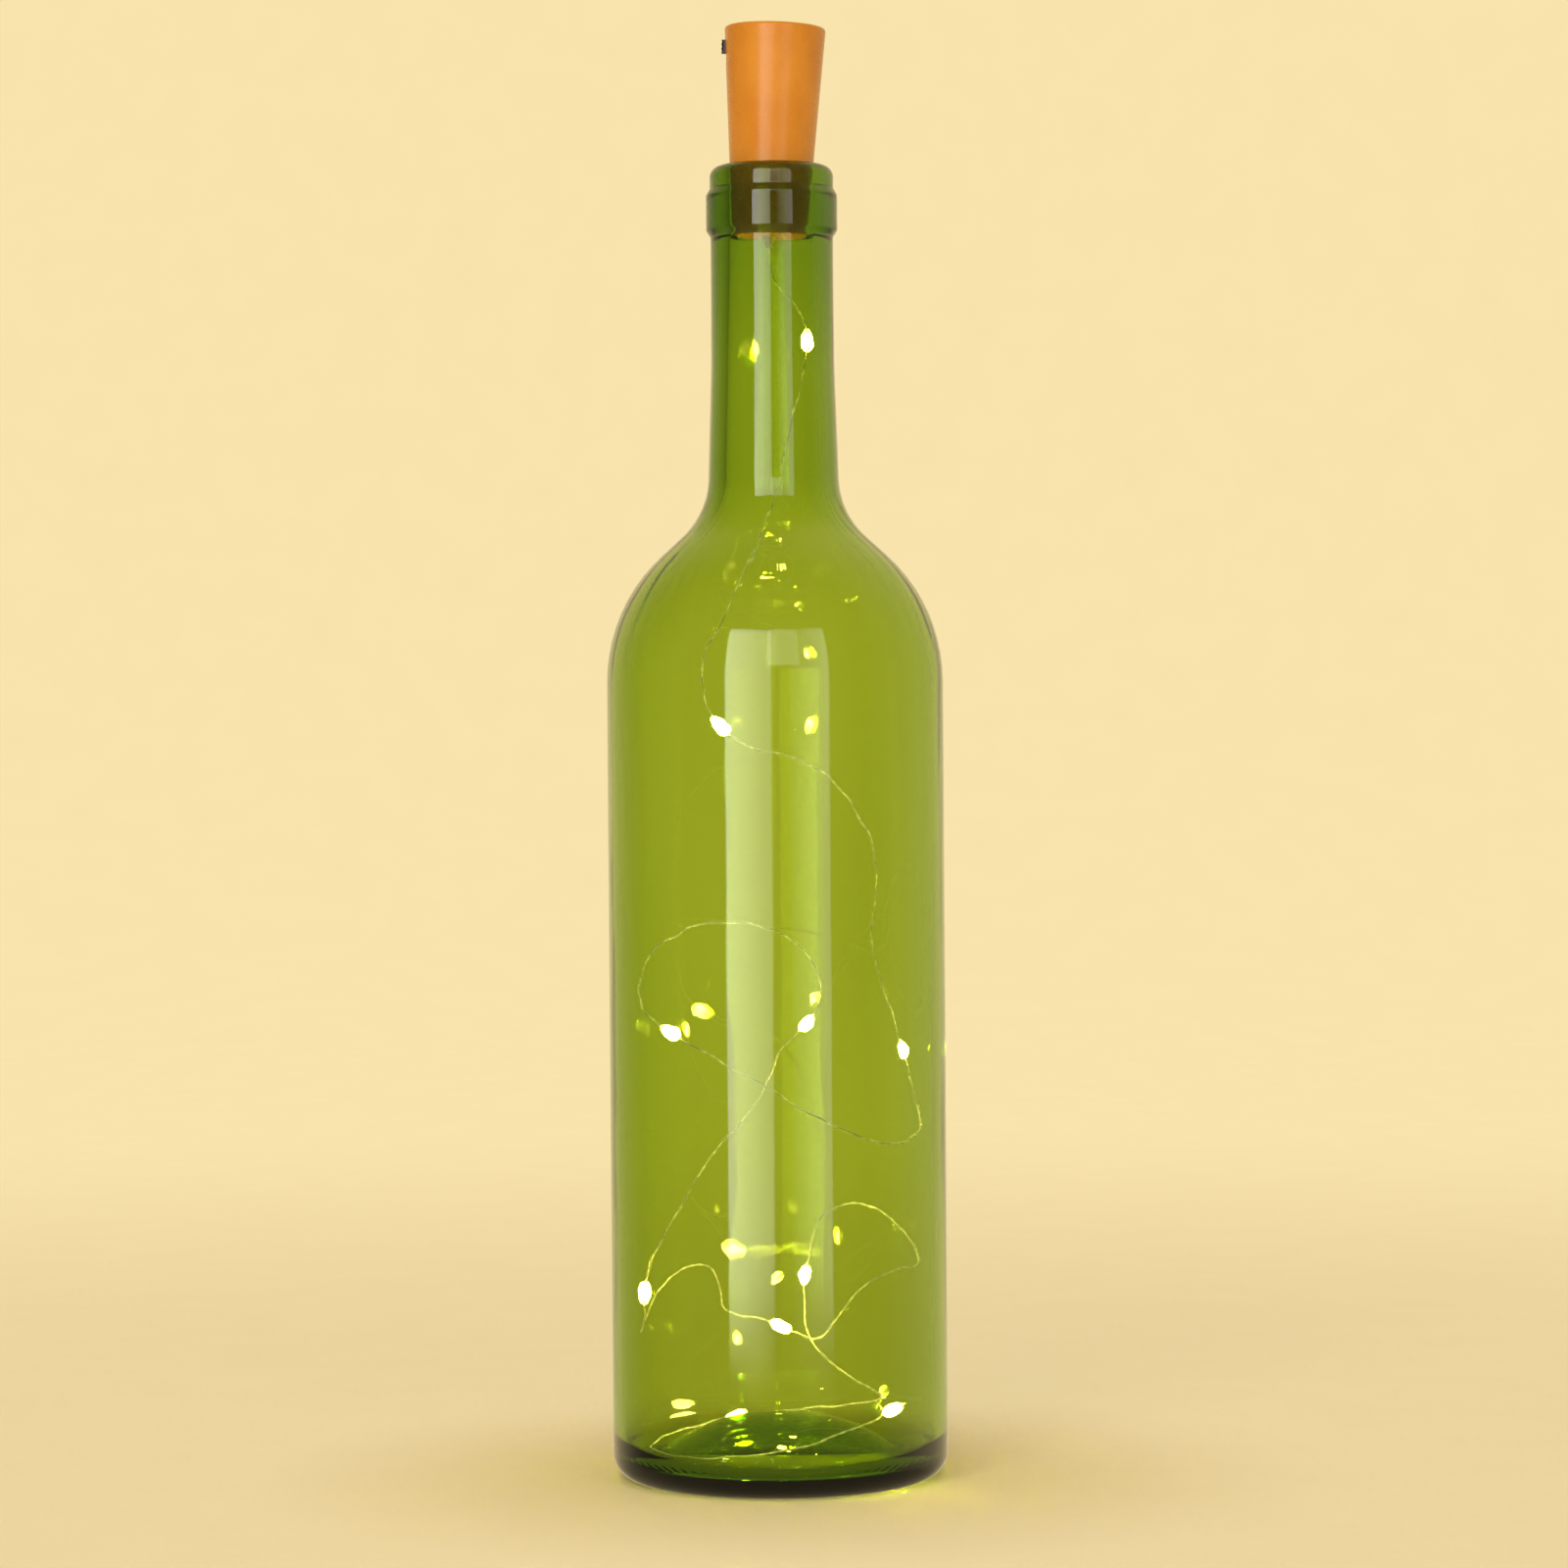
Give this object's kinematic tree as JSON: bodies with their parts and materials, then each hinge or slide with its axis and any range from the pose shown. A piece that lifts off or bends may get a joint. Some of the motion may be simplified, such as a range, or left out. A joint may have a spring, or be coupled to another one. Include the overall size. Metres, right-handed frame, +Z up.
{
  "type": "cork bottle light",
  "caption": "Green glass wine bottle with a cork-shaped battery stopper and a string of warm lit drops on fine wire inside, switched at the stopper's side.",
  "frame": {"origin": "centre of the bottle's base, on the surface that it stands on", "axes": "+Z up along the bottle's axis, the stopper's switch on the -X side, -Y towards the viewer"},
  "size_m": [0.075, 0.075, 0.3236],
  "materials": {
    "green_glass": "clear yellow-green bottle glass, smooth and glossy",
    "silver_wire": "fine bright silver wire, lightly crinkled",
    "light_chip": "warm white phosphor, lit",
    "clear_resin": "clear cast resin drop",
    "cork_plastic": "tan moulded plastic, semi-gloss",
    "holder_plastic": "black moulded plastic",
    "cell_steel": "bright nickel-plated steel",
    "gasket_nylon": "grey nylon",
    "contact_metal": "thin springy plated brass",
    "board_laminate": "green board laminate",
    "switch_wafer_board": "brown phenolic board",
    "switch_tinplate": "folded tinplate",
    "knob_plastic": "black moulded plastic",
    "resistor_body": "black chip resistor",
    "solder": "bright solder",
    "lead_insulation": "red insulated fine lead",
    "seal_glue": "translucent glue",
    "screw_steel": "zinc-plated steel"
  },
  "bodies": {
    "bottle": {"glass_bottle": "green_glass", "slack_wire": "silver_wire", "string_wire": "silver_wire", "string_led_chips": "light_chip", "string_led_drops": "clear_resin"},
    "cork": {"cork_shell": "cork_plastic", "battery_holder": "holder_plastic", "cell_cans": "cell_steel", "cell_gaskets": "gasket_nylon", "cell_caps": "cell_steel", "spring_contact": "contact_metal", "circuit_board": "board_laminate", "side_contact": "contact_metal", "switch_wafer": "switch_wafer_board", "switch_can": "switch_tinplate", "switch_terminals": "contact_metal", "resistor": "resistor_body", "solder_joints": "solder", "lead_wires": "lead_insulation", "wire_seal": "seal_glue", "neck_wire": "silver_wire", "neck_led_chip": "light_chip", "neck_led_drop": "clear_resin"},
    "cap": {"cork_cap": "cork_plastic", "cap_contact": "contact_metal", "cap_screw": "screw_steel"},
    "switch": {"switch_knob": "knob_plastic", "switch_wiper": "contact_metal"}
  },
  "joints": [
    {"name": "cork_pull", "type": "slide", "parent": "bottle", "child": "cork", "axis": [0, 0, 1], "range_m": [0, 0.024], "deforming": ["slack_wire"]},
    {"name": "cap_lift", "type": "slide", "parent": "cork", "child": "cap", "axis": [0.0349, 0, 0.9994], "range_m": [0, 0.012]},
    {"name": "switch_slide", "type": "slide", "parent": "cork", "child": "switch", "axis": [-0.0349, 0, -0.9994], "range_m": [0, 0.002]}
  ]
}
